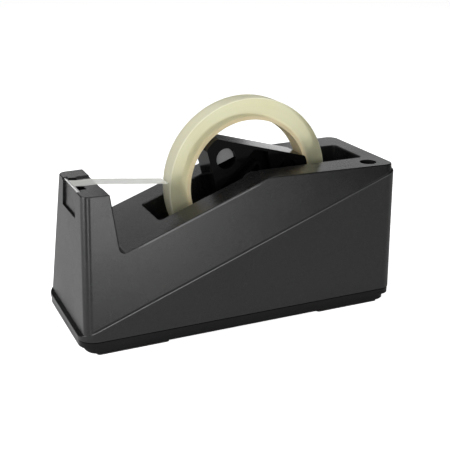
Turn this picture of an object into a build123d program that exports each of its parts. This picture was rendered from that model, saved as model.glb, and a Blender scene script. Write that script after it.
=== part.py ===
from build123d import *
import os
from math import cos, radians, sin, tan

# Desktop tape dispenser, weighted, for 12 mm tape on a 3 inch core.
# Frame: +X towards the rear, -X towards the cutter, +Z up, millimetres.
# The origin is the centre of the base on the surface that it stands on.

# ---------------------------------------------------------------- casing
case_length = 200.0
case_width = 81.0
case_height = 88.5
seam_height = 9.0
wall = 2.2
front_corner_radius = 9.9
rear_corner_radius = 7.4
edge_round = 0.7

# cutter tower at the front
tower_front_setback = 7.95
tower_depth = 15.3
tower_front_lean = 4.32
tower_back_lean = 5.19
tower_corner_radius = 5.2
tower_top_inset = 12.6
valley_radius = 3.0

# long slope from the foot of the tower up to the rear deck
slope_angle = 20.2
slope_run = 93.7
kink_radius = 15.0

# flanks of the upper body lean in and spread towards the rear
flank_lean = 9.65
flank_spread = 3.15
rear_step = 1.0

# proud lower panel with the diagonal ledge; its sides lean in a little
panel_lean = 1.15
lip_height = 4.0
lip_edge_drop = 1.9
ledge_start_setback = 2.7
ledge_end_drop = 3.4
ledge_round = 0.6
ledge_underlap = 3.0
ledge_blend_radius = 8.0

# ---------------------------------------------------------- tape and hub
tape_width = 12.0
core_bore_radius = 38.0
core_wall = 2.0
core_overhang = 0.25
roll_radius = 51.0
film_thickness = 0.12
wind_gap = 0.05
axle_x = 16.3
axle_height = 78.4

hub_reach = 10.4
hub_flat_distance = 22.5
hub_fit = 0.3
hub_wall = 1.7
hub_corner_radius = 2.5
hub_turn = 14.5
web_thickness = 1.6
web_setback = 1.6
plate_thickness = 1.6
lobe_plate_distance = 14.3
socket_radius = 6.15
socket_wall = 1.2
socket_pitch_radius = 24.5
post_gap = 0.25
post_flat_offset = 2.2
post_setback = 2.9
tube_flat_distance = 8.3
tube_corner_radius = 2.6
hub_centre_hole = 4.0
post_flat_turn = 155.5

# ---------------------------------------------------------------- spindle
rod_radius = 3.0
rod_end_setback = 0.6
press_gap = 0.03
running_gap = 0.06
bush_radius = 6.4
bush_length = 5.0
collar_radius = 8.0
side_gap = 0.15
shoe_size = 8.0
shoe_chamfer = 0.8
shoe_slot_gap = 0.2
shoe_seat_gap = 0.1
shoe_wall_gap = 0.3
cradle_thickness = 3.0
cradle_width = 16.0
cradle_floor = 8.0
cradle_top_above_shoe = 0.6
cradle_chamfer = 1.0
cradle_key_width = 6.0
cradle_key_height = 3.0
cradle_key_gap = 0.1
cradle_corner_radius = 2.0
cradle_gap = 0.2

# ------------------------------------------------------------------- well
well_width = 32.0
well_front_gap = 10.0
well_rear_gap = 20.7
well_floor_gap = 3.4
well_corner_radius = 2.0
well_edge_round = 0.6

# ----------------------------------------------------------- pen hole
pen_hole_radius = 5.0
pen_tube_wall = 1.6
pen_hole_depth = 60.0
pen_from_rear = 14.3
pen_from_side = 13.2

# --------------------------------------------------------------- cutter
carrier_width = 27.4
carrier_reach = 15.4
carrier_recess = 1.3
carrier_depth = 7.4
carrier_fit = 0.1
carrier_chamfer = 0.4
plate_depth = 1.0
slot_depth = 5.0
slot_width = 25.0
blade_thickness = 0.5
blade_length = 31.5
blade_leg = 10.0
blade_drop = 0.6
blade_overhang = 0.15
blade_gap = 0.05
blade_bend = 0.4
tooth_pitch = 1.5
tooth_depth = 0.8
channel_width = 28.0
channel_depth = 1.0

# free end of the tape, from the roll to the blade
strand_roll_gap = 0.6
strand_peel_rise = 5.2
strand_side_shift = 3.3
strand_lie = 0.1
strand_blade_lap = 0.5

# ---------------------------------------------------- base and ballast
foot_thickness = 0.85
foot_length = 42.8
foot_margin = 0.6
foot_corner_radius = 2.0
front_foot_setback = 9.0
rear_foot_setback = 9.2
base_block_height = 4.2
base_inset = 0.3
base_side_setback = 1.5
base_end_setback = 3.4
base_floor = 3.0
base_wall = 2.4
base_round = 0.7
seam_groove_height = 0.6
seam_groove_depth = 1.2
lip_rise = 2.5
lip_wall = 1.6
lip_gap = 0.15
lip_front_gap = 1.0

ballast_end_gap = 4.2
ballast_width = 56.0
ballast_headroom = 3.0
ballast_round = 3.0
ballast_chamfer = 1.0
ballast_rib_gap = 0.3
ballast_rib = 2.0
ballast_rib_height = 6.0
ballast_hold_gap = 0.2
hold_rib = 2.0
hold_rib_span = 70.0
hold_rib_centre_x = 20.0

screw_radius = 1.5
screw_length = 14.0
screw_head_radius = 3.2
screw_head_height = 1.5
screw_head_recess = 0.2
screw_gap = 0.06
screw_hole_gap = 0.3
screw_setback = 15.8
boss_radius = 4.0
boss_height = 22.0
boss_rib = 2.0
boss_rib_gap = 0.5

# ------------------------------------------------------------ derived
half_length = case_length / 2
half_width = case_width / 2
tower_top_width = case_width - 2 * tower_top_inset
tower_front_x = -half_length + tower_front_setback
tower_back_x = tower_front_x + tower_depth
kink_x = tower_back_x + slope_run
ledge_start_x = -half_length + ledge_start_setback
ledge_start_z = seam_height + lip_height
ledge_end_z = case_height - ledge_end_drop
ledge_rise = ledge_end_z - ledge_start_z
ledge_run = 2 * half_length - ledge_start_setback
ledge_slope = ledge_rise / ledge_run
ledge_inside_drop = wall * (1 + ledge_slope * ledge_slope) ** 0.5
lip_front_rise = seam_height + lip_rise + ledge_inside_drop - ledge_start_z
lip_front_x = ledge_start_x + lip_front_rise / ledge_slope + lip_front_gap
well_front_x = axle_x - roll_radius - well_front_gap
well_rear_x = axle_x + roll_radius + well_rear_gap
well_length = well_rear_x - well_front_x
well_centre_x = (well_front_x + well_rear_x) / 2
well_floor_z = axle_height - roll_radius - well_floor_gap
well_half = well_width / 2
pen_x = half_length - pen_from_rear
pen_y = -half_width + pen_from_side
pen_bottom_z = case_height - pen_hole_depth
base_floor_z = foot_thickness + base_floor
base_rim_z = foot_thickness + base_block_height
screw_pitch_x = case_length - 2 * screw_setback
ballast_length = screw_pitch_x - 2 * (boss_radius + ballast_end_gap)
pad_radius = core_bore_radius - hub_fit
pocket_depth = carrier_recess + plate_depth + blade_thickness + 2 * blade_gap
blade_seat = blade_drop + blade_thickness
ballast_top_z = well_floor_z - wall - ballast_headroom
slope_tan = tan(radians(slope_angle))
back_tan = tan(radians(tower_back_lean))
front_tan = tan(radians(tower_front_lean))
valley_drop = (kink_x - tower_back_x) * slope_tan / (1 + back_tan * slope_tan)
valley_x = tower_back_x + valley_drop * back_tan
valley_z = case_height - valley_drop
platform_z = case_height - channel_depth

# Plane lying in the front face of the tower: local x across, local y up
# the face from its top edge, normal out of the face.
front_face = Plane(
    origin=(tower_front_x, 0, case_height),
    x_dir=(0, -1, 0),
    z_dir=(-cos(radians(tower_front_lean)), 0, sin(radians(tower_front_lean))),
)

# Plane through the hub's axis: local x to the rear, local y up, normal
# towards the near side.
hub_plane = Plane(origin=(axle_x, 0, axle_height), x_dir=(1, 0, 0), z_dir=(0, -1, 0))

# Planes of the flanks of the upper body and of the sides of the lower
# panel, normals pointing outwards.
flank_planes = [
    Plane(
        origin=(tower_back_x, side * tower_top_width / 2, case_height),
        z_dir=(-tan(radians(flank_spread)), side, tan(radians(flank_lean))),
    )
    for side in (-1, 1)
]
panel_planes = [
    Plane(origin=(0, side * half_width, seam_height), z_dir=(0, side, tan(radians(panel_lean))))
    for side in (-1, 1)
]


def front_line_x(z):
    """X of the tower's front face at height z."""
    return tower_front_x - (case_height - z) * front_tan


def plan_outline(side_inset, end_inset):
    """Outline of the casing seen from above, moved in at sides and ends."""
    with BuildSketch() as plan:
        Rectangle(case_length - 2 * end_inset, case_width - 2 * side_inset)
        fillet(plan.vertices().group_by(Axis.X)[0], front_corner_radius - side_inset)
        fillet(plan.vertices().group_by(Axis.X)[-1], rear_corner_radius - side_inset)
    return plan.sketch


def upper_form(inset, bottom, rounding):
    """Upper body of the casing, moved in from its skin by inset."""
    with BuildPart() as form:
        with BuildSketch(Plane.XZ) as profile:
            with BuildLine():
                Polyline(
                    (front_line_x(bottom), bottom),
                    (tower_front_x, case_height),
                    (tower_back_x, case_height),
                    (valley_x, valley_z),
                    (kink_x, case_height),
                    (half_length - rear_step, case_height),
                    (half_length - rear_step, bottom),
                    close=True,
                )
            make_face()
            valley = profile.vertices().sort_by_distance((valley_x, valley_z, 0))[0]
            fillet(valley, valley_radius)
            kink = profile.vertices().sort_by_distance((kink_x, case_height, 0))[0]
            fillet(kink, kink_radius)
            if inset > 0:
                offset(amount=-inset, kind=Kind.INTERSECTION)
        extrude(amount=half_width - inset, both=True)
        for plane in flank_planes:
            split(bisect_by=plane.offset(-inset), keep=Keep.BOTTOM)
        front = form.faces().sort_by(Axis.X)[0]
        fillet(front.edges().filter_by(Axis.Y, reverse=True), tower_corner_radius - inset)
        rear = form.faces().sort_by(Axis.X)[-1]
        fillet(rear.edges().filter_by(Axis.Y, reverse=True), rear_corner_radius - rear_step - inset)
        # it ends a little below the ledge, inside the lower panel
        with BuildSketch(Plane.XZ):
            with BuildLine():
                Polyline(
                    (ledge_start_x - case_length, ledge_start_z - ledge_underlap - case_length * ledge_slope),
                    (ledge_start_x, ledge_start_z - ledge_underlap),
                    (ledge_start_x + case_length, ledge_start_z - ledge_underlap + case_length * ledge_slope),
                    (ledge_start_x + case_length, -case_length),
                    (ledge_start_x - case_length, -case_length),
                    close=True,
                )
            make_face()
        extrude(amount=case_width, both=True, mode=Mode.SUBTRACT)
        if rounding > 0:
            upper = form.faces().filter_by(lambda f: abs(f.normal_at().Y) < 0.01)
            upper = upper.filter_by(lambda f: f.normal_at().Z > 0.01).sort_by(Axis.X)[1:]
            rim = upper.edges().filter_by(Axis.Y, reverse=True)
            across = upper.edges().filter_by(Axis.Y)
            across = across.filter_by(lambda e: e.center().Z > case_height - 0.01)
            across = across.filter_by(lambda e: not tower_back_x + 1 < e.center().X < kink_x + 2 * kink_radius)
            fillet(rim + across, rounding)
    return form.part


def lower_form(inset, bottom, rounding):
    """Proud lower panel of the casing, below the diagonal ledge."""
    with BuildPart() as form:
        with BuildSketch(Plane.XY.offset(bottom)):
            Rectangle(case_length - 2 * inset, 2 * case_width)
        extrude(amount=ledge_end_z - inset - bottom)
        for plane in panel_planes:
            split(bisect_by=plane.offset(-inset), keep=Keep.BOTTOM)
        front = form.faces().sort_by(Axis.X)[0]
        fillet(front.edges().filter_by(Axis.Y, reverse=True), front_corner_radius - inset)
        rear = form.faces().sort_by(Axis.X)[-1]
        fillet(rear.edges().filter_by(Axis.Y, reverse=True), rear_corner_radius - inset)
        drop = inset * (1 + ledge_slope * ledge_slope) ** 0.5
        with BuildSketch(Plane.XZ) as cut:
            with BuildLine():
                Polyline(
                    (-half_length, ledge_start_z - lip_edge_drop - drop),
                    (ledge_start_x, ledge_start_z - drop),
                    (ledge_start_x + 2 * ledge_run, ledge_start_z + 2 * ledge_rise - drop),
                    (-half_length, ledge_start_z + 2 * ledge_rise),
                    close=True,
                )
            make_face()
            crease = cut.vertices().sort_by_distance((ledge_start_x, ledge_start_z - drop, 0))[0]
            fillet(crease, ledge_blend_radius)
        extrude(amount=case_width, both=True, mode=Mode.SUBTRACT)
        if rounding > 0:
            top = form.faces().filter_by(lambda f: f.normal_at().Z > 0.5)
            ends = top.edges().filter_by(Axis.Y)
            ends = ends.filter_by(lambda e: abs(e.center().X) > half_length - 0.01)
            fillet(top.edges().filter_by(Axis.Y, reverse=True) + ends, rounding)
    return form.part


# ------------------------------------------------------------- the casing
# Space inside the moulded shell, less the material that stands in it.
with BuildPart() as cavity:
    add(upper_form(wall, seam_height - 2 * wall, 0))
    add(lower_form(wall, seam_height - 2 * wall, 0))
    # walls and floor of the reel well
    with BuildSketch(Plane.XY.offset(well_floor_z - wall)):
        with Locations((well_centre_x, 0)):
            Rectangle(well_length + 2 * wall, well_width + 2 * wall)
    extrude(amount=case_height, mode=Mode.SUBTRACT)
    # tube of the pen hole
    with BuildSketch(Plane.XY.offset(pen_bottom_z - pen_tube_wall)):
        with Locations((pen_x, pen_y)):
            Circle(pen_hole_radius + pen_tube_wall)
    extrude(amount=case_height, mode=Mode.SUBTRACT)
    # block round the cutter pocket in the head of the tower
    with BuildSketch(front_face):
        with Locations((0, wall)):
            Rectangle(
                blade_length + 2 * wall,
                carrier_reach + 2 * wall,
                align=(Align.CENTER, Align.MAX),
            )
    extrude(amount=-(carrier_depth + carrier_fit + wall), mode=Mode.SUBTRACT)
    # screw bosses with a rib each to the end wall
    with BuildSketch(Plane.XY.offset(seam_height - 2 * wall)):
        with GridLocations(screw_pitch_x, 1, 2, 1):
            Circle(boss_radius)
    extrude(amount=boss_height + 2 * wall, mode=Mode.SUBTRACT)
    with BuildSketch(Plane.XY.offset(seam_height + lip_rise + boss_rib_gap)):
        with GridLocations(screw_pitch_x + screw_setback, 1, 2, 1):
            Rectangle(screw_setback, boss_rib)
    extrude(amount=boss_height - lip_rise - boss_rib_gap, mode=Mode.SUBTRACT)
    # ribs under the well that keep the ballast down
    with BuildSketch(Plane.XY.offset(ballast_top_z + ballast_hold_gap)):
        with Locations((hold_rib_centre_x, 0)):
            with GridLocations(hold_rib_span, 1, 2, 1):
                Rectangle(hold_rib, well_width + 2 * wall)
    extrude(amount=well_floor_z - ballast_top_z, mode=Mode.SUBTRACT)

with BuildPart() as casing:
    add(upper_form(0, seam_height, edge_round))
    add(lower_form(0, seam_height, ledge_round))
    add(cavity.part, mode=Mode.SUBTRACT)
    # the bosses reach down into the base tray
    with BuildSketch(Plane.XY.offset(base_floor_z)):
        with GridLocations(screw_pitch_x, 1, 2, 1):
            Circle(boss_radius)
    extrude(amount=seam_height - base_floor_z + wall)
    with BuildSketch(Plane.XY.offset(base_floor_z)):
        with GridLocations(screw_pitch_x, 1, 2, 1):
            Circle(screw_radius + screw_gap)
    extrude(amount=screw_length, mode=Mode.SUBTRACT)
    # reel well
    with BuildSketch(Plane.XY.offset(well_floor_z)):
        with Locations((well_centre_x, 0)):
            RectangleRounded(well_length, well_width, well_corner_radius)
    extrude(amount=case_height, mode=Mode.SUBTRACT)
    deck = casing.faces().filter_by(Plane.XY).filter_by(lambda f: f.center().Z > case_height - 0.01)
    mouth = deck.sort_by(Axis.X)[-1].edges().filter_by(lambda e: abs(e.center().Y) < well_half + 0.01)
    mouth = mouth.filter_by(lambda e: e.center().X < well_rear_x + 0.01)
    mouth = mouth.filter_by(lambda e: e.center().X > kink_x + kink_radius)
    chamfer(mouth, well_edge_round)
    # pen hole
    with BuildSketch(Plane.XY.offset(pen_bottom_z)):
        with Locations((pen_x, pen_y)):
            Circle(pen_hole_radius)
    extrude(amount=case_height, mode=Mode.SUBTRACT)
    # pocket for the cutter carrier, wide at the front, narrower behind
    with BuildSketch(front_face):
        with Locations((0, wall)):
            Rectangle(
                carrier_width + 2 * carrier_fit,
                carrier_reach + carrier_fit + wall,
                align=(Align.CENTER, Align.MAX),
            )
            Rectangle(
                blade_length + 2 * carrier_fit,
                blade_seat + carrier_fit + wall,
                align=(Align.CENTER, Align.MAX),
            )
    extrude(amount=-pocket_depth, both=True, mode=Mode.SUBTRACT)
    with BuildSketch(front_face):
        with Locations((0, wall)):
            Rectangle(
                slot_width,
                carrier_reach + carrier_fit + wall,
                align=(Align.CENTER, Align.MAX),
            )
    extrude(amount=-(carrier_depth + carrier_fit), mode=Mode.SUBTRACT)
    # shallow channel that guides the tape over the platform
    with BuildSketch(Plane.XY.offset(platform_z)):
        with Locations((tower_front_x + carrier_depth, 0)):
            Rectangle(2 * tower_depth, channel_width, align=(Align.MIN, Align.CENTER))
    extrude(amount=2 * channel_depth, mode=Mode.SUBTRACT)
    # slots for the keys of the spindle cradles
    with BuildSketch(Plane.XZ):
        with Locations((axle_x, axle_height - shoe_size / 2 - cradle_floor / 2)):
            Rectangle(cradle_key_width + 2 * cradle_key_gap, cradle_key_height + 2 * cradle_key_gap)
    extrude(amount=well_half + wall, both=True, mode=Mode.SUBTRACT)
casing.part.label = "casing"


# ------------------------------------------------------------- base plate
# Tray that closes the casing from below and carries the ballast.
block_side_inset = base_inset + base_side_setback
block_end_inset = base_inset + base_end_setback
ballast_height = ballast_top_z - base_floor_z
with BuildPart() as base_plate:
    with BuildSketch(Plane.XY.offset(foot_thickness)):
        add(plan_outline(block_side_inset, block_end_inset))
    extrude(amount=base_block_height)
    chamfer(base_plate.faces().sort_by(Axis.Z)[0].edges(), base_round)
    with BuildSketch(Plane.XY.offset(base_rim_z)):
        add(plan_outline(base_inset, base_inset))
    extrude(amount=seam_height - seam_groove_height - base_rim_z)
    # set back under the casing's edge, which leaves the groove of the seam
    with BuildSketch(Plane.XY.offset(seam_height - seam_groove_height)):
        add(plan_outline(base_inset + seam_groove_depth, base_inset + seam_groove_depth))
    extrude(amount=seam_groove_height)
    # lip that locates the tray inside the casing wall; it stops short of the
    # front, where the casing is solid under its own lip
    with BuildSketch(Plane.XY.offset(seam_height)):
        add(plan_outline(wall + lip_gap, wall + lip_gap))
        add(plan_outline(wall + lip_gap + lip_wall, wall + lip_gap + lip_wall), mode=Mode.SUBTRACT)
        with Locations((lip_front_x, 0)):
            Rectangle(case_length, case_width, align=(Align.MAX, Align.CENTER), mode=Mode.SUBTRACT)
    extrude(amount=lip_rise)
    # inside of the tray
    with BuildSketch(Plane.XY.offset(base_floor_z)):
        add(plan_outline(block_side_inset + base_wall, block_end_inset + base_wall))
    extrude(amount=seam_height, mode=Mode.SUBTRACT)
    # a rib at each end of the ballast
    with BuildSketch(Plane.XY.offset(base_floor_z)):
        with GridLocations(ballast_length + 2 * ballast_rib_gap + ballast_rib, 1, 2, 1):
            Rectangle(ballast_rib, case_width - 2 * (block_side_inset + base_wall))
    extrude(amount=ballast_rib_height)
    # counterbored holes for the screws that hold the casing
    with Locations(Location((0, 0, foot_thickness), (180, 0, 0))):
        with GridLocations(screw_pitch_x, 1, 2, 1):
            CounterBoreHole(
                radius=screw_radius + screw_hole_gap,
                counter_bore_radius=screw_head_radius + screw_hole_gap,
                counter_bore_depth=screw_head_recess + screw_head_height,
                depth=base_floor,
            )
base_plate.part.label = "base_plate"

# ---------------------------------------------------------- ballast slab
with BuildPart() as ballast_slab:
    with BuildSketch(Plane.XY.offset(base_floor_z)):
        RectangleRounded(ballast_length, ballast_width, ballast_round)
    extrude(amount=ballast_height)
    chamfer(ballast_slab.faces().sort_by(Axis.Z)[-1].edges(), ballast_chamfer)
ballast_slab.part.label = "ballast_slab"

# Two pan-head screws from below, through the tray into the casing bosses.
with BuildPart() as base_screws:
    with BuildSketch(Plane.XY.offset(foot_thickness + screw_head_recess)):
        with GridLocations(screw_pitch_x, 1, 2, 1):
            Circle(screw_head_radius)
    extrude(amount=screw_head_height)
    with BuildSketch(Plane.XY.offset(foot_thickness + screw_head_recess + screw_head_height)):
        with GridLocations(screw_pitch_x, 1, 2, 1):
            Circle(screw_radius)
    extrude(amount=screw_length)
base_screws.part.label = "base_screws"

# ------------------------------------------------------------- foot pads
foot_width = case_width - 2 * (block_side_inset + foot_margin)
with BuildPart() as front_foot_pad:
    with BuildSketch():
        with Locations((-half_length + front_foot_setback + foot_length / 2, 0)):
            RectangleRounded(foot_length, foot_width, foot_corner_radius)
    extrude(amount=foot_thickness)
front_foot_pad.part.label = "front_foot_pad"

with BuildPart() as rear_foot_pad:
    with BuildSketch():
        with Locations((half_length - rear_foot_setback - foot_length / 2, 0)):
            RectangleRounded(foot_length, foot_width, foot_corner_radius)
    extrude(amount=foot_thickness)
rear_foot_pad.part.label = "rear_foot_pad"

# ------------------------------------------------------------- the cutter
# Carrier: a front plate sunk a little into the tower, and a block behind
# it that holds the leg of the blade.
carrier_face = front_face.offset(-carrier_recess)
with BuildPart() as cutter_carrier:
    with BuildSketch(carrier_face):
        with Locations((0, -blade_seat)):
            Rectangle(carrier_width, carrier_reach - blade_seat, align=(Align.CENTER, Align.MAX))
    extrude(amount=-plate_depth)
    top_edge = cutter_carrier.faces().sort_by(Axis.X)[0].edges().sort_by(Axis.Z)[-1]
    chamfer(top_edge, carrier_chamfer)
    with BuildSketch(carrier_face.offset(-plate_depth)):
        with Locations((0, -slot_depth)):
            Rectangle(
                slot_width - 2 * carrier_fit,
                carrier_reach - slot_depth,
                align=(Align.CENTER, Align.MAX),
            )
    extrude(amount=-(carrier_depth - carrier_recess - plate_depth))
    with BuildSketch(carrier_face.offset(-plate_depth)):
        Rectangle(
            2 * carrier_width,
            blade_drop + blade_leg + blade_gap,
            align=(Align.CENTER, Align.MAX),
        )
    extrude(amount=-(blade_thickness + 2 * blade_gap), mode=Mode.SUBTRACT)
cutter_carrier.part.label = "cutter_carrier"

# Blade: a strip folded to an L, its short leg toothed and laid over the
# top of the carrier's plate.
blade_top = Plane(
    origin=carrier_face.origin,
    x_dir=carrier_face.x_dir,
    z_dir=carrier_face.y_dir,
)
blade_depth = blade_overhang + plate_depth + blade_gap + blade_thickness
tooth_count = int(blade_length / tooth_pitch)
with BuildPart() as cutter_blade:
    with BuildSketch(carrier_face.offset(-(plate_depth + blade_gap))):
        with Locations((0, -blade_drop)):
            Rectangle(carrier_width, blade_leg, align=(Align.CENTER, Align.MAX))
    extrude(amount=-blade_thickness)
    with BuildSketch(carrier_face.offset(blade_overhang)):
        with Locations((0, -blade_drop)):
            Rectangle(blade_length, blade_thickness, align=(Align.CENTER, Align.MAX))
    extrude(amount=-blade_depth)
    bend = cutter_blade.edges().filter_by(Axis.Y).group_by(Axis.Z)[-1].sort_by(Axis.X)[-1]
    fillet(bend, blade_bend)
    with BuildSketch(blade_top):
        with Locations((0, -blade_overhang)):
            with GridLocations(tooth_pitch, 1, tooth_count, 1):
                Polygon(
                    (-tooth_pitch / 2, -tooth_depth / 10),
                    (tooth_pitch / 2, -tooth_depth / 10),
                    (0, tooth_depth),
                    align=None,
                )
    extrude(amount=2 * blade_seat, both=True, mode=Mode.SUBTRACT)
cutter_blade.part.label = "cutter_blade"

# ---------------------------------------------------- free end of the tape
# A thin strip: it leaves the roll, lies on the platform and ends on the
# heel of the blade.
roll_left_x = axle_x - roll_radius
slot_rear_x = tower_front_x + carrier_depth + carrier_fit
blade_heel_x = tower_front_x + carrier_recess + plate_depth + blade_gap + blade_thickness
with BuildPart() as tape_strand:
    stations = (
        (roll_left_x - strand_roll_gap, 0, axle_height + strand_peel_rise),
        (tower_back_x + strand_lie, strand_side_shift, platform_z),
        (slot_rear_x, strand_side_shift, platform_z),
        (blade_heel_x - strand_blade_lap, strand_side_shift, case_height - blade_drop),
    )
    for x, y, z in stations:
        with BuildSketch(Plane(origin=(x, y, z), x_dir=(0, 1, 0), z_dir=(1, 0, 0))):
            Rectangle(tape_width, film_thickness, align=(Align.CENTER, Align.MIN))
    loft(ruled=True)
tape_strand.part.label = "tape_strand"


# -------------------------------------------------------- spindle cradles
def cradle(outer_y, direction):
    """U-shaped plate against one wall of the well, with a key into the wall."""
    floor_z = axle_height - shoe_size / 2 - shoe_seat_gap
    top_z = axle_height + shoe_size / 2 + cradle_top_above_shoe
    with BuildPart() as plate:
        with BuildSketch(Plane.XZ.offset(-outer_y)) as face:
            with Locations((axle_x, floor_z - cradle_floor)):
                Rectangle(cradle_width, top_z - floor_z + cradle_floor, align=(Align.CENTER, Align.MIN))
            with Locations((axle_x, floor_z)):
                Rectangle(
                    shoe_size + 2 * shoe_slot_gap,
                    shoe_size * 2,
                    align=(Align.CENTER, Align.MIN),
                    mode=Mode.SUBTRACT,
                )
            mouth = face.vertices().group_by(Axis.Y)[-1].sort_by(Axis.X)[1:3]
            chamfer(mouth, cradle_chamfer)
            fillet(face.vertices().group_by(Axis.Y)[0], cradle_corner_radius)
        extrude(amount=direction * cradle_thickness)
        with BuildSketch(Plane.XZ.offset(-outer_y)):
            with Locations((axle_x, axle_height - shoe_size / 2 - cradle_floor / 2)):
                Rectangle(cradle_key_width, cradle_key_height)
        extrude(amount=-direction * (wall - cradle_gap))
    return plate.part


with BuildPart() as near_cradle:
    add(cradle(-well_half, -1))
near_cradle.part.label = "near_cradle"

with BuildPart() as far_cradle:
    add(cradle(well_half, 1))
far_cradle.part.label = "far_cradle"

# ---------------------------------------------------------------- spindle
collar_outer = well_half - cradle_thickness - cradle_gap
collar_inner = hub_reach + side_gap
shoe_outer = well_half - shoe_wall_gap
rod_half = shoe_outer - rod_end_setback

with BuildPart() as spindle_rod:
    with BuildSketch(hub_plane):
        Circle(rod_radius)
    extrude(amount=rod_half, both=True)
spindle_rod.part.label = "spindle_rod"


def shoe(side):
    """Square end block with a round collar, for the side -1 far or 1 near."""
    with BuildPart() as block:
        with BuildSketch(hub_plane.offset(side * collar_outer)) as face:
            Rectangle(shoe_size, shoe_size)
            chamfer(face.vertices(), shoe_chamfer)
        extrude(amount=side * (shoe_outer - collar_outer))
        with BuildSketch(hub_plane.offset(side * collar_inner)):
            Circle(collar_radius)
        extrude(amount=side * (collar_outer - collar_inner))
        with BuildSketch(hub_plane.offset(side * collar_inner)):
            Circle(rod_radius + press_gap)
        extrude(amount=side * (rod_half + rod_end_setback / 2 - collar_inner), mode=Mode.SUBTRACT)
    return block.part


with BuildPart() as near_spindle_shoe:
    add(shoe(1))
near_spindle_shoe.part.label = "near_spindle_shoe"

with BuildPart() as far_spindle_shoe:
    add(shoe(-1))
far_spindle_shoe.part.label = "far_spindle_shoe"


# -------------------------------------------------------------------- hub
def lobed_outline(inset):
    """Three-lobed outline: a triangle cut by the circle of its pads."""
    with BuildSketch() as outline:
        RegularPolygon(hub_flat_distance, 3, rotation=hub_turn, major_radius=False)
        Circle(pad_radius, mode=Mode.INTERSECT)
        fillet(outline.vertices(), hub_corner_radius)
        if inset > 0:
            offset(amount=-inset)
    return outline.sketch


def chord_triangle(distance):
    """Triangle whose sides face the three lobes."""
    with BuildSketch() as triangle:
        RegularPolygon(distance, 3, rotation=hub_turn + 60, major_radius=False)
    return triangle.sketch


def centre_tube(inset):
    """Rounded triangle of the tube round the axle."""
    with BuildSketch() as tube:
        RegularPolygon(tube_flat_distance, 3, rotation=hub_turn + 60, major_radius=False)
        fillet(tube.vertices(), tube_corner_radius)
        if inset > 0:
            offset(amount=-inset)
    return tube.sketch


def hub_shell(side, socket_wall_radius):
    """Moulded half of the hub, for the side -1 far or 1 near, with a round
    wall of the given radius standing in each lobe."""
    web_outer = web_setback + web_thickness
    with BuildPart() as half:
        with BuildSketch(hub_plane):
            add(lobed_outline(0))
        extrude(amount=side * hub_reach)
        # recess of the outer face, round the tube, down to the web
        with BuildSketch(hub_plane.offset(side * hub_reach)):
            add(lobed_outline(hub_wall))
            add(chord_triangle(lobe_plate_distance), mode=Mode.INTERSECT)
            add(centre_tube(0), mode=Mode.SUBTRACT)
        extrude(amount=-side * (hub_reach - web_outer), mode=Mode.SUBTRACT)
        # the same space behind the web
        with BuildSketch(hub_plane):
            add(lobed_outline(hub_wall))
            add(chord_triangle(lobe_plate_distance), mode=Mode.INTERSECT)
            add(centre_tube(0), mode=Mode.SUBTRACT)
        extrude(amount=side * web_setback, mode=Mode.SUBTRACT)
        # inside of the lobes, open at the parting plane
        with BuildSketch(hub_plane):
            add(lobed_outline(hub_wall))
            add(chord_triangle(lobe_plate_distance + hub_wall), mode=Mode.SUBTRACT)
            with PolarLocations(socket_pitch_radius, 3, start_angle=hub_turn):
                Circle(socket_wall_radius, mode=Mode.SUBTRACT)
        extrude(amount=side * (hub_reach - plate_thickness), mode=Mode.SUBTRACT)
        # inside of the tube, on both sides of the web
        with BuildSketch(hub_plane.offset(side * hub_reach)):
            add(centre_tube(hub_wall))
        extrude(amount=-side * (hub_reach - web_outer), mode=Mode.SUBTRACT)
        with BuildSketch(hub_plane):
            add(centre_tube(hub_wall))
        extrude(amount=side * web_setback, mode=Mode.SUBTRACT)
        with BuildSketch(hub_plane):
            Circle(hub_centre_hole)
        extrude(amount=side * hub_reach, mode=Mode.SUBTRACT)
    return half.part


# Near half: its lobes have through sockets.
with BuildPart() as hub_near_half:
    add(hub_shell(1, socket_radius + socket_wall))
    with BuildSketch(hub_plane):
        with PolarLocations(socket_pitch_radius, 3, start_angle=hub_turn):
            Circle(socket_radius)
    extrude(amount=hub_reach, mode=Mode.SUBTRACT)
hub_near_half.part.label = "hub_near_half"

# Far half: a post stands in each lobe, and its free end, of D section,
# enters the socket.
with BuildPart() as hub_far_half:
    add(hub_shell(-1, socket_radius - post_gap))
    with BuildSketch(hub_plane):
        with PolarLocations(socket_pitch_radius, 3, start_angle=hub_turn):
            Circle(socket_radius - post_gap)
            with Locations(
                Location(
                    (
                        post_flat_offset * cos(radians(post_flat_turn)),
                        post_flat_offset * sin(radians(post_flat_turn)),
                        0,
                    ),
                    (0, 0, post_flat_turn),
                )
            ):
                Rectangle(
                    2 * socket_radius,
                    4 * socket_radius,
                    align=(Align.MIN, Align.CENTER),
                    mode=Mode.SUBTRACT,
                )
    extrude(amount=hub_reach - post_setback)
hub_far_half.part.label = "hub_far_half"

# Plain bushes that turn on the rod, seated on the web of each half.
bush_seat = web_setback + web_thickness
with BuildPart() as near_hub_bush:
    with BuildSketch(hub_plane.offset(bush_seat)):
        Circle(bush_radius)
        Circle(rod_radius + running_gap, mode=Mode.SUBTRACT)
    extrude(amount=bush_length)
near_hub_bush.part.label = "near_hub_bush"

with BuildPart() as far_hub_bush:
    with BuildSketch(hub_plane.offset(-bush_seat)):
        Circle(bush_radius)
        Circle(rod_radius + running_gap, mode=Mode.SUBTRACT)
    extrude(amount=-bush_length)
far_hub_bush.part.label = "far_hub_bush"

# ------------------------------------------------------- core and tape roll
core_radius = core_bore_radius + core_wall
with BuildPart() as tape_core:
    with BuildSketch(hub_plane):
        Circle(core_radius)
        Circle(core_bore_radius, mode=Mode.SUBTRACT)
    extrude(amount=tape_width / 2 + core_overhang, both=True)
tape_core.part.label = "tape_core"

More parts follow.
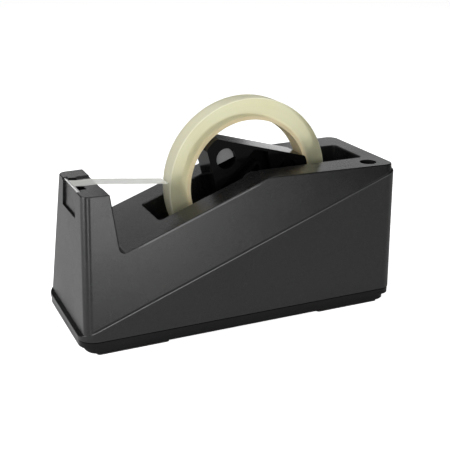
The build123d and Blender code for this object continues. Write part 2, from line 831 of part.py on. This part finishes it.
with BuildPart() as tape_roll:
    with BuildSketch(hub_plane):
        Circle(roll_radius)
        Circle(core_radius + wind_gap, mode=Mode.SUBTRACT)
    extrude(amount=tape_width / 2, both=True)
tape_roll.part.label = "tape_roll"

# ---------------------------------------------------------------- export
pieces = (
    casing,
    base_plate,
    ballast_slab,
    base_screws,
    front_foot_pad,
    rear_foot_pad,
    cutter_carrier,
    cutter_blade,
    tape_strand,
    near_cradle,
    far_cradle,
    spindle_rod,
    near_spindle_shoe,
    far_spindle_shoe,
    hub_near_half,
    hub_far_half,
    near_hub_bush,
    far_hub_bush,
    tape_core,
    tape_roll,
)
os.makedirs("parts", exist_ok=True)
for piece in pieces:
    export_step(piece.part, "parts/" + piece.part.label + ".step")
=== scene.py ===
from math import atan, cos, pi, radians

import bmesh
import bpy
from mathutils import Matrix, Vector


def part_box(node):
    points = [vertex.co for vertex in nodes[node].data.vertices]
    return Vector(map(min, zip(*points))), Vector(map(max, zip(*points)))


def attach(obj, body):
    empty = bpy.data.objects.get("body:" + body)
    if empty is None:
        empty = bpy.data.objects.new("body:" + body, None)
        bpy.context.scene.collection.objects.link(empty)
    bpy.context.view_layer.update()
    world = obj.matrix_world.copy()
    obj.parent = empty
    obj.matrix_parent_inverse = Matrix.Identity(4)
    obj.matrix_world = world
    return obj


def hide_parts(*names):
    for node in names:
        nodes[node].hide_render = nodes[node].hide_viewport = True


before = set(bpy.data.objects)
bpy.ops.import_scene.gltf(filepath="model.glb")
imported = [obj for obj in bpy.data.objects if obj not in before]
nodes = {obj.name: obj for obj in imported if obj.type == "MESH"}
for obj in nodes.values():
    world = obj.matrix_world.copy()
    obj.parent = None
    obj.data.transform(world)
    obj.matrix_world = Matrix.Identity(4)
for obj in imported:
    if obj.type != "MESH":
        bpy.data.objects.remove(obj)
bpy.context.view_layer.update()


# ---------------------------------------------------------------- casing
# The moulded shell: one piece of charcoal plastic with a fine spark-eroded
# grain, semi-gloss, carrying the tower, the slope and the reel well. The
# base plate is screwed to it from below.

class Wire:
    """One shader socket that can stand in a sum or a product."""

    def __init__(self, finish, socket):
        self.finish = finish
        self.socket = socket

    def _math(self, operation, *values):
        return self.finish.node("ShaderNodeMath", {"operation": operation}, dict(enumerate(values)))

    def __add__(self, other):
        return self._math("ADD", self, other)

    def __radd__(self, other):
        return self._math("ADD", other, self)

    def __sub__(self, other):
        return self._math("SUBTRACT", self, other)

    def __rsub__(self, other):
        return self._math("SUBTRACT", other, self)

    def __mul__(self, other):
        return self._math("MULTIPLY", self, other)

    def sine(self):
        return self._math("SINE", self)

    def root(self):
        return self._math("SQRT", self)

    def above(self, edge, soft):
        """0 below edge - soft, 1 above edge + soft."""
        return self.finish.node(
            "ShaderNodeMapRange",
            {"interpolation_type": "SMOOTHSTEP"},
            {"Value": self, "From Min": edge - soft, "From Max": edge + soft},
        )

    def between(self, low, high, soft):
        """1 from low to high, 0 outside them."""
        return self.above(low, soft) * (1.0 - self.above(high, soft))


class Finish:
    """A material and the one way its nodes are made."""

    def __init__(self, name):
        self.material = bpy.data.materials.new(name)
        self.material.use_nodes = True
        self.tree = self.material.node_tree
        self.tree.nodes.clear()
        self.out = self.tree.nodes.new("ShaderNodeOutputMaterial")

    def node(self, kind, settings=None, inputs=None, output=0):
        made = self.tree.nodes.new(kind)
        for key, value in (settings or {}).items():
            setattr(made, key, value)
        for key, value in (inputs or {}).items():
            if isinstance(value, Wire):
                self.tree.links.new(value.socket, made.inputs[key])
            else:
                made.inputs[key].default_value = value
        return Wire(self, made.outputs[output])

    def place(self):
        """Object coordinates, in metres."""
        return self.node("ShaderNodeTexCoord", output="Object")

    def split(self, vector):
        """The X, Y and Z of a vector."""
        made = self.tree.nodes.new("ShaderNodeSeparateXYZ")
        self.tree.links.new(vector.socket, made.inputs[0])
        return [Wire(self, axis) for axis in made.outputs]

    def joined(self, **axes):
        """A vector from wires for some of X, Y and Z."""
        return self.node("ShaderNodeCombineXYZ", inputs=axes)

    def stretched(self, vector, scale):
        return self.node("ShaderNodeMapping", inputs={"Vector": vector, "Scale": scale})

    def noise(self, vector, scale, detail=3.0, rough=0.5):
        return self.node(
            "ShaderNodeTexNoise",
            inputs={"Vector": vector, "Scale": scale, "Detail": detail, "Roughness": rough},
        )

    def mix(self, factor, a, b):
        """Colour a where the factor is 0, colour b where it is 1. A mix node
        of colours takes them at sockets 6 and 7 and gives the result at 2."""
        return self.node("ShaderNodeMix", {"data_type": "RGBA"}, {0: factor, 6: a, 7: b}, output=2)

    def bump(self, height, strength, distance):
        return self.node(
            "ShaderNodeBump", inputs={"Height": height, "Strength": strength, "Distance": distance}
        )

    def surface(self, **sockets):
        """The material, with a principled shader that has these sockets."""
        inputs = {key.replace("_", " "): value for key, value in sockets.items()}
        shader = self.node("ShaderNodeBsdfPrincipled", inputs=inputs)
        self.tree.links.new(shader.socket, self.out.inputs["Surface"])
        return self.material


def rgb(r, g, b):
    return (r, g, b, 1.0)


def shown(form, name):
    """The form as an object in the scene, smooth but for its sharp edges."""
    sharp = radians(32)
    for face in form.faces:
        face.smooth = True
    for edge in form.edges:
        edge.smooth = len(edge.link_faces) == 2 and edge.calc_face_angle(0.0) < sharp
    mesh = bpy.data.meshes.new(name)
    form.to_mesh(mesh)
    form.free()
    piece = bpy.data.objects.new(name, mesh)
    bpy.context.scene.collection.objects.link(piece)
    return piece


def smoothed(node, name):
    """A copy of a CAD node with its triangles joined and its round faces
    shaded round, which then stands for that node."""
    form = bmesh.new()
    form.from_mesh(nodes[node].data)
    bmesh.ops.remove_doubles(form, verts=form.verts, dist=1e-6)
    piece = shown(form, name)
    weight = piece.modifiers.new("weighted normals", "WEIGHTED_NORMAL")
    weight.mode = "FACE_AREA_WITH_ANGLE"
    weight.weight = 80
    weight.keep_sharp = True
    return piece


def finish_with(piece, material):
    piece.data.materials.clear()
    piece.data.materials.append(material)


def moulded_plastic(name, tone, rough, grain, gloss, painted_highlights=None):
    """Black moulding compound of a mean tone and roughness: grain, a soft
    cloud of polish and fine dust, and painted highlight lines with a duller
    band if a function gives them."""
    finish = Finish(name)
    place = finish.place()
    fine = finish.noise(place, scale=grain, detail=2.0, rough=0.6)
    cloud = finish.noise(place, scale=28.0, detail=4.0, rough=0.55)
    dust = finish.noise(place, scale=900.0, detail=2.0).above(0.68, soft=0.03)
    dark = rgb(tone * 0.86, tone * 0.86, tone * 0.90)
    pale = rgb(tone * 1.16, tone * 1.15, tone * 1.14)
    colour = finish.mix(dust * 0.04, finish.mix(cloud, dark, pale), rgb(0.22, 0.21, 0.20))
    roughness = rough + (cloud - 0.5) * 0.16 + (fine - 0.5) * 0.10
    # Painted highlight: the colour turns a paler grey along the lines the function gives.
    if painted_highlights:
        highlit, dull = painted_highlights(finish.split(place))
        colour = finish.mix(highlit, colour, rgb(0.10, 0.10, 0.102))
        roughness = roughness + dull * 0.5
    return finish.surface(
        Base_Color=colour,
        Roughness=roughness,
        Normal=finish.bump(fine, strength=0.16, distance=0.00012),
        Specular_IOR_Level=gloss,
        IOR=1.5,
    )


# The ledge and the crest, which is the upper edge of the slope, are seen
# from the side as two lines, each through a point in X and Z with a rise.
ledge_foot = (-0.0973, 0.0130)
ledge_rise = 0.36543
crest_top = (0.01695, 0.0885)
crest_rise = 0.3679


def painted_edge_highlights(place):
    """Where pale lines of painted highlight run along the casing's ledge and
    crest, and where the corner above its ledge is duller."""
    x, y, z = place

    def height_over(point, rise):
        """Height square to the line through a point in X and Z."""
        return (z - point[1] - (x - point[0]) * rise) * cos(atan(rise))

    over_ledge = height_over(ledge_foot, ledge_rise)
    over_crest = height_over(crest_top, crest_rise)
    on_flanks = (y * y).above(0.00040, soft=0.00004)
    along_ledge = on_flanks * x.between(-0.0940, 0.0980, soft=0.0006)
    along_crest = on_flanks * x.between(-0.0620, 0.0100, soft=0.0040)
    fading = 1.0 - x.above(0.030, soft=0.060) * 0.5
    ledge_highlight = over_ledge.between(-0.00060, -0.00010, soft=0.00008) * along_ledge * fading
    crest_highlight = over_crest.between(-0.00125, -0.00045, soft=0.00015) * along_crest
    dull = over_ledge.between(0.00008, 0.00080, soft=0.00008) * along_ledge
    return ledge_highlight + crest_highlight, dull


# The casing's ledge and crest carry painted highlight lines.
casing = smoothed("casing", "casing_moulding")
finish_with(
    casing,
    moulded_plastic(
        "casing moulding", tone=0.008, rough=0.27, grain=3200.0, gloss=0.5, painted_highlights=painted_edge_highlights
    ),
)
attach(casing, "housing")
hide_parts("casing")

# ------------------------------------------------------------- base plate
# The tray under the casing, moulded in the same plastic and less glossy,
# with its colour painted darker as painted shade. Its lip locates it in the
# casing, and two screws hold it there.
tray = smoothed("base_plate", "base_tray")
finish_with(
    tray, moulded_plastic("tray moulding", tone=0.004, rough=0.24, grain=2600.0, gloss=0.22)
)
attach(tray, "housing")
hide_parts("base_plate")

# ---------------------------------------------------------- ballast slab
# A grey iron casting with a sandy skin and some rust. It lies in the tray,
# held down by the casing, and gives the dispenser its weight.
finish = Finish("cast iron")
place = finish.place()
sand = finish.noise(place, scale=700.0, detail=5.0, rough=0.65)
rust = finish.noise(place, scale=60.0, detail=4.0, rough=0.6).above(0.58, soft=0.08)
finish_with(
    nodes["ballast_slab"],
    finish.surface(
        Base_Color=finish.mix(rust * 0.4, rgb(0.10, 0.10, 0.105), rgb(0.16, 0.09, 0.055)),
        Metallic=0.6,
        Roughness=0.55 + sand * 0.25,
        Normal=finish.bump(sand, strength=0.5, distance=0.0004),
    ),
)

# ---------------------------------------------------------------- screws
# Two self-tapping pan-head screws of zinc plated steel, driven up from
# below through the tray into the bosses of the casing.
finish = Finish("zinc plate")
place = finish.place()
grind = finish.noise(finish.stretched(place, (1.0, 1.0, 6.0)), scale=1500.0)
finish_with(
    nodes["base_screws"],
    finish.surface(
        Base_Color=finish.mix(grind, rgb(0.52, 0.53, 0.55), rgb(0.66, 0.66, 0.64)),
        Metallic=1.0,
        Roughness=0.24 + grind * 0.18,
    ),
)

# ------------------------------------------------------------- foot pads
# Two strips of black synthetic rubber with fine cross ribs, stuck to the
# tray so that the dispenser doesn't slide.
rib_pitch = 0.0021
finish = Finish("ribbed rubber")
place = finish.place()
ribs = (finish.split(place)[0] * (2 * pi / rib_pitch)).sine()
crumb = finish.noise(place, scale=1400.0)
rubber = finish.surface(
    Base_Color=finish.mix(crumb, rgb(0.014, 0.014, 0.014), rgb(0.035, 0.034, 0.033)),
    Roughness=0.78 + crumb * 0.15,
    Normal=finish.bump(ribs * 0.5 + crumb * 0.2, strength=0.5, distance=0.0004),
)
finish_with(nodes["front_foot_pad"], rubber)
finish_with(nodes["rear_foot_pad"], rubber)

# --------------------------------------------------------- cutter carrier
# An insert of the casing's plastic that drops into the head of the tower,
# guides the tape on its top and holds the blade in a slot.
charcoal = moulded_plastic("charcoal moulding", tone=0.008, rough=0.27, grain=3200.0, gloss=0.5)
carrier = smoothed("cutter_carrier", "blade_carrier")
finish_with(carrier, charcoal)
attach(carrier, "housing")
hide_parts("cutter_carrier")

# ----------------------------------------------------------- cutter blade
# Bright rolled steel strip, folded and toothed and pressed into the slot of
# its carrier, with fine rolling lines along its length.
finish = Finish("blade steel")
place = finish.place()
rolled = finish.noise(finish.stretched(place, (60.0, 1.0, 60.0)), scale=160.0, detail=4.0)
finish_with(
    nodes["cutter_blade"],
    finish.surface(
        Base_Color=finish.mix(rolled, rgb(0.72, 0.72, 0.72), rgb(0.90, 0.90, 0.89)),
        Metallic=1.0,
        Roughness=0.16 + rolled * 0.16,
        Normal=finish.bump(rolled, strength=0.12, distance=0.00005),
    ),
)

# ---------------------------------------------- spindle cradles and shoes
# Two open-topped brackets of satin black plastic keyed into the walls of the
# well, and the two square shoes on the ends of the spindle that drop into
# them from above.
satin = moulded_plastic("satin black moulding", tone=0.012, rough=0.40, grain=2400.0, gloss=0.4)
for name in ("near_cradle", "far_cradle", "near_spindle_shoe", "far_spindle_shoe"):
    finish_with(nodes[name], satin)

# ---------------------------------------------------------------- spindle
# Ground steel rod that the hub turns on, with the marks of grinding along
# it. Its ends sit in the shoes.
finish = Finish("ground steel")
place = finish.place()
ground = finish.noise(finish.stretched(place, (40.0, 4.0, 40.0)), scale=90.0, detail=4.0)
finish_with(
    nodes["spindle_rod"],
    finish.surface(
        Base_Color=finish.mix(ground, rgb(0.50, 0.50, 0.51), rgb(0.64, 0.64, 0.64)),
        Metallic=1.0,
        Roughness=0.22 + ground * 0.15,
    ),
)

# -------------------------------------------------------------------- hub
# Two glossy black mouldings pushed together at the middle, the sockets of
# the near half over the posts of the far half. One post end face of the far
# half is painted pale grey.
def hub_moulding(name, post_end):
    finish = Finish(name)
    place = finish.place()
    x, y, _ = finish.split(place)
    # One post end face of the far half is painted pale grey.
    pale_post_face = (1.0 - y.above(post_end, soft=0.0001)) * (1.0 - x.above(0.025, soft=0.001))
    flow = finish.noise(place, scale=45.0)
    fine = finish.noise(place, scale=1800.0, detail=2.0)
    black = finish.mix(flow, rgb(0.002, 0.002, 0.002), rgb(0.004, 0.004, 0.004))
    return finish.surface(
        Base_Color=finish.mix(pale_post_face, black, rgb(0.24, 0.24, 0.243)),
        Roughness=0.10 + flow * 0.05 + fine * 0.02,
        Normal=finish.bump(fine * 0.4 + flow, strength=0.10, distance=0.0002),
        Specular_IOR_Level=0.08,
        IOR=1.50,
    )


no_pale_post_face = -1.0
far_post_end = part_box("hub_far_half")[0][1] + 0.0003
for node, name, post_end in (
    ("hub_near_half", "near_hub_moulding", no_pale_post_face),
    ("hub_far_half", "far_hub_moulding", far_post_end),
):
    half = smoothed(node, name)
    finish_with(half, hub_moulding(name, post_end))
    rounding = half.modifiers.new("rounded edges", "BEVEL")
    rounding.width = 0.0004
    rounding.segments = 2
    rounding.limit_method = "ANGLE"
    rounding.angle_limit = radians(40)
    rounding.harden_normals = True
    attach(half, "reel")
    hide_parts(node)

# ------------------------------------------------------------- hub bushes
# Two bushes turned smooth from dark grey acetal and pressed into the halves
# of the hub, which run on the spindle.
finish = Finish("acetal")
place = finish.place()
turned = finish.noise(finish.stretched(place, (1.0, 30.0, 1.0)), scale=300.0)
acetal = finish.surface(
    Base_Color=finish.mix(turned, rgb(0.035, 0.035, 0.036), rgb(0.06, 0.06, 0.06)),
    Roughness=0.42 + turned * 0.12,
)
finish_with(nodes["near_hub_bush"], acetal)
finish_with(nodes["far_hub_bush"], acetal)

# -------------------------------------------------------------- tape core
# Spirally wound card tube, pale orange-cream, with fine fibres. It is
# pushed over the three lobes of the hub.
finish = Finish("wound card")
place = finish.place()
fibre = finish.noise(place, scale=900.0, detail=4.0, rough=0.6)
blotch = finish.noise(place, scale=90.0)
card = finish.mix(blotch, rgb(0.90, 0.74, 0.42), rgb(0.96, 0.86, 0.56))
finish_with(
    nodes["tape_core"],
    finish.surface(
        Base_Color=finish.mix(fibre * 0.35, card, rgb(0.96, 0.90, 0.72)),
        Roughness=0.66 + fibre * 0.15,
        Transmission_Weight=0.30,
        Normal=finish.bump(fibre, strength=0.25, distance=0.0002),
    ),
)

# -------------------------------------------------------------- tape roll
# Hundreds of turns of clear film wound on the core. The wound sides show
# fine rings, and the mass is cream-green, milky and lets light through.
core_low, core_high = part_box("tape_core")
roll_low, roll_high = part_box("tape_roll")
axle = Vector(((core_low[0] + core_high[0]) / 2, 0.0, (core_low[2] + core_high[2]) / 2))
core_radius = (core_high[2] - core_low[2]) / 2
roll_radius = (roll_high[2] - roll_low[2]) / 2
roll_half_width = roll_high[1]
ridges = 14
ridge_depth = 0.00005
edge_round = 0.00035
tread_dish = 0.00008
turning_steps = 160


def spun(name, section, centre, steps):
    """A body of revolution about the line through centre along Y: section
    is a closed list of (radius, y)."""
    form = bmesh.new()
    ring = [form.verts.new((centre.x + radius, y, centre.z)) for radius, y in section]
    strip = [form.edges.new(pair) for pair in zip(ring, ring[1:] + ring[:1])]
    bmesh.ops.spin(
        form,
        geom=ring + strip,
        cent=centre,
        axis=(0.0, 1.0, 0.0),
        angle=2 * pi,
        steps=steps,
        use_merge=True,
    )
    bmesh.ops.remove_doubles(form, verts=form.verts, dist=1e-7)
    bmesh.ops.recalc_face_normals(form, faces=form.faces)
    return shown(form, name)


side = []
for i in range(ridges + 1):
    radius = core_radius + (roll_radius - edge_round - core_radius) * i / ridges
    side.append((radius, roll_half_width - ridge_depth * (i % 2)))
side.append((roll_radius - edge_round * 0.3, roll_half_width - edge_round * 0.3))
side.append((roll_radius, roll_half_width - edge_round))
near_side = [(radius, -y) for radius, y in side]
tread = [(roll_radius - tread_dish, 0.0)]
roll = spun("wound_tape", near_side + tread + side[::-1], axle, turning_steps)

finish = Finish("wound film")
place = finish.place()
x, y, z = finish.split(place)
across = x - axle.x
up = z - axle.z
reach = (across * across + up * up).root()
rings = finish.noise(finish.joined(X=reach, Y=y * 0.02), scale=2600.0, rough=0.6)
bands = finish.noise(finish.joined(X=reach), scale=420.0, detail=2.0)
haze = finish.noise(place, scale=30.0, detail=2.0)
off_core = reach.above(core_radius + 0.0010, soft=0.0010)
on_tread = reach.above(roll_radius - 0.0006, soft=0.0003)
wound = finish.mix(bands, rgb(0.69, 0.67, 0.43), rgb(0.76, 0.74, 0.50))
wound = finish.mix(haze.above(0.55, soft=0.2) * 0.3, wound, rgb(0.80, 0.86, 0.68))
wound = finish.mix(off_core, rgb(0.94, 0.86, 0.58), wound)
wound = finish.mix(rings * 0.2, wound, rgb(0.95, 0.94, 0.80))
wound = finish.mix(on_tread, wound, rgb(0.99, 0.98, 0.80))
finish_with(
    roll,
    finish.surface(
        Base_Color=wound,
        Roughness=0.34 + rings * 0.16,
        Normal=finish.bump(rings, strength=0.15, distance=0.0001),
        Transmission_Weight=0.66,
        IOR=1.30,
    ),
)
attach(roll, "reel")
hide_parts("tape_roll")

# ---------------------------------------------------- free end of the tape
# Milky clear film drawn from the roll over the platform to the blade, with
# its glue side down.
finish = Finish("clear film")
place = finish.place()
haze = finish.noise(finish.stretched(place, (1.0, 6.0, 1.0)), scale=60.0)
finish_with(
    nodes["tape_strand"],
    finish.surface(
        Base_Color=finish.mix(haze, rgb(0.90, 0.91, 0.86), rgb(0.96, 0.96, 0.92)),
        Roughness=0.16 + haze * 0.12,
        Alpha=0.56 + haze * 0.12,
        IOR=1.47,
    ),
)

# ------------------------------------------------------------------ stage
# A plain white sweep. It glows for the camera, so that it shows white and
# still keeps a shadow, and through the tape, and its far part also shows
# white in what is glossy.
floor_size = 12.0
glow = 0.90
glow_through_tape = 0.60
form = bmesh.new()
bmesh.ops.create_grid(form, x_segments=1, y_segments=1, size=floor_size)
floor = shown(form, "floor")
finish = Finish("white sweep")
place = finish.place()
shade = finish.noise(place, scale=3.0)
far = finish.split(place)[1].above(0.6, soft=0.3)
seen = finish.node("ShaderNodeLightPath", output="Is Camera Ray")
through = finish.node("ShaderNodeLightPath", output="Is Transmission Ray")
mirrored = finish.node("ShaderNodeLightPath", output="Is Glossy Ray")
finish_with(
    floor,
    finish.surface(
        Base_Color=finish.mix(shade, rgb(0.90, 0.90, 0.90), rgb(0.92, 0.92, 0.92)),
        Roughness=1.0,
        Specular_IOR_Level=0.0,
        Emission_Color=seen * glow + through * glow_through_tape + mirrored * far * glow,
        Emission_Strength=1.0,
    ),
)

# ------------------------------------------------------------------ light
# Softboxes all round, none of them in view, in a room that is almost dark.
# The small ones low in front draw the gloss of the near side.
world = bpy.data.worlds.new("soft room")
world.use_nodes = True
background = world.node_tree.nodes["Background"]
background.inputs["Color"].default_value = rgb(1.0, 1.0, 1.0)
background.inputs["Strength"].default_value = 0.02
bpy.context.scene.world = world

aim = Vector((0.0, 0.0, 0.05))
for name, place, size, watts in (
    ("low front softbox", (0.038, -1.089, 0.203), (0.34, 0.36), 2.0),
    ("low right softbox", (0.264, -1.057, 0.203), (0.34, 0.36), 0.37),
    ("high front softbox", (-0.285, -0.639, 1.262), (0.80, 0.80), 2.0),
    ("raised front softbox", (-0.041, -1.168, 0.620), (0.50, 0.40), 2.4),
    ("side softbox", (-1.103, 0.0, 0.912), (0.80, 0.60), 7.0),
    ("low side softbox", (-1.369, 0.0, 0.341), (0.80, 0.60), 9.0),
    ("front left softbox", (-0.671, -0.859, 0.203), (0.30, 0.30), 1.6),
    ("overhead softbox", (0.0, 0.0, 1.45), (1.00, 1.00), 4.0),
    ("far right softbox", (0.968, 0.968, 0.341), (0.80, 0.60), 1.11),
    ("rear softbox", (0.0, 1.298, 0.574), (0.60, 0.40), 0.59),
    ("rear right softbox", (0.444, 1.220, 0.574), (0.60, 0.40), 0.16),
):
    lamp = bpy.data.lights.new(name, "AREA")
    lamp.shape = "RECTANGLE"
    lamp.size, lamp.size_y = size
    lamp.energy = watts
    holder = bpy.data.objects.new(name, lamp)
    holder.location = place
    holder.rotation_euler = (aim - Vector(place)).to_track_quat("-Z", "Y").to_euler()
    holder.visible_camera = False
    bpy.context.scene.collection.objects.link(holder)

# ----------------------------------------------------------------- camera
# A long lens a little above the object, which looks at its near side from
# the front left.
lens = bpy.data.cameras.new("camera")
lens.lens = 71.294
lens.sensor_width = 36.0
lens.clip_start = 0.01
viewer = bpy.data.objects.new("camera", lens)
viewer.location = (-0.20413, -0.47000, 0.23438)
viewer.rotation_euler = (radians(70.336), radians(0.026), radians(-23.785))
bpy.context.scene.collection.objects.link(viewer)
bpy.context.scene.camera = viewer
bpy.context.scene.view_settings.view_transform = "Standard"
